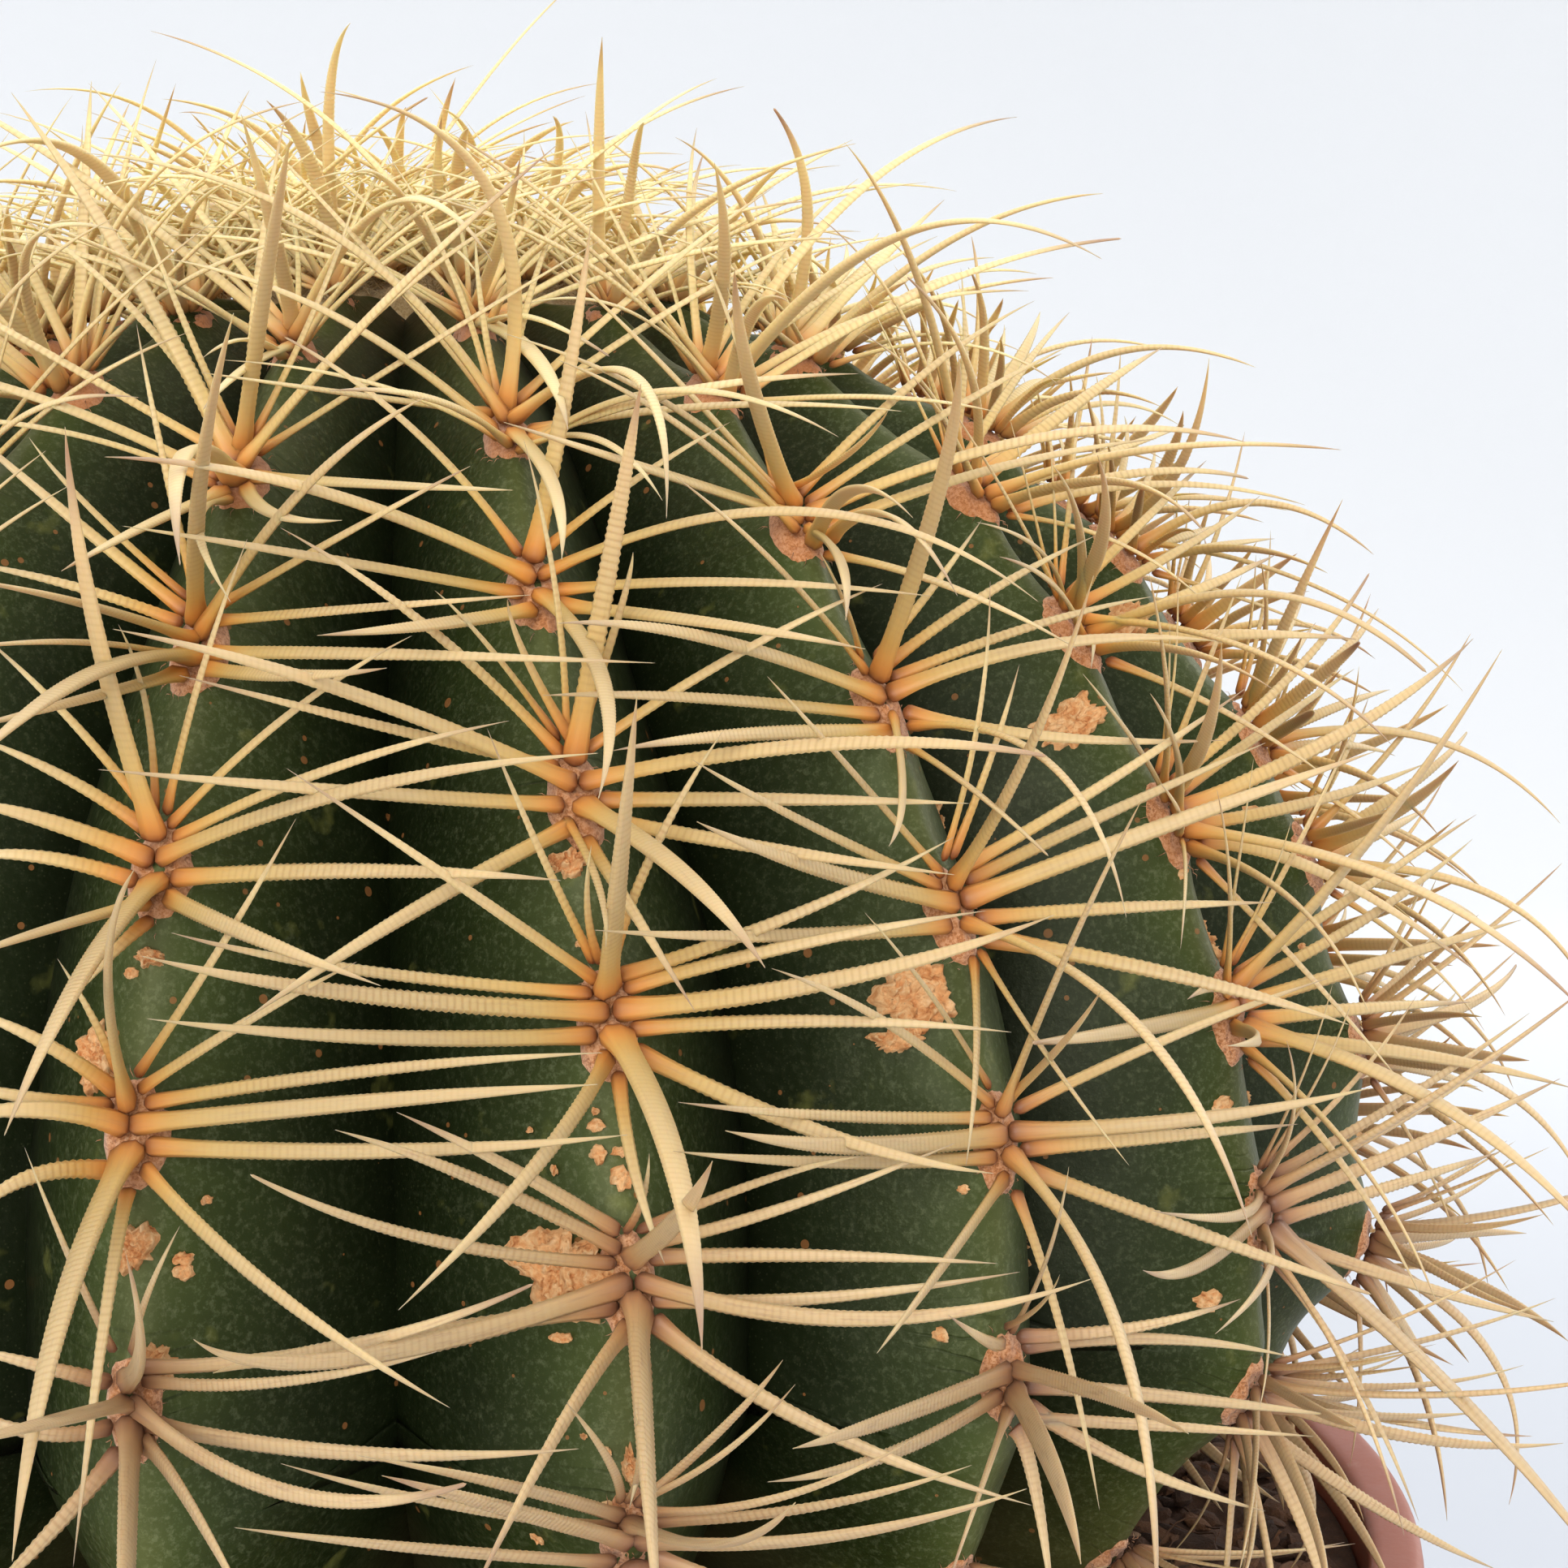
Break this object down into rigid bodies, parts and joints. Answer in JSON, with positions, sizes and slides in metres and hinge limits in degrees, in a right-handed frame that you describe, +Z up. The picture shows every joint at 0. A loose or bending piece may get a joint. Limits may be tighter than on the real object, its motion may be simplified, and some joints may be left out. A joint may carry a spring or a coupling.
{
  "type": "potted round cactus",
  "caption": "Round ribbed cactus with dense golden spines, growing in potting mix in a tapered round plastic pot that rests on its flat base.",
  "frame": {"origin": "middle of the pot's underside", "axes": "+Z up along the axis of the pot and the plant, -Y towards the side that faces the viewer"},
  "size_m": [0.2695, 0.2767, 0.3374],
  "materials": {
    "pot_plastic": "moulded plastic, satin",
    "potting_mix": "loose bark and coir, dry",
    "cactus": "waxy green skin with golden spines",
    "wool": "felted wool with golden spines"
  },
  "bodies": {
    "root": {"pot": "pot_plastic", "soil": "potting_mix", "cactus_stem": "cactus", "crown_wool": "wool"}
  },
  "joints": []
}
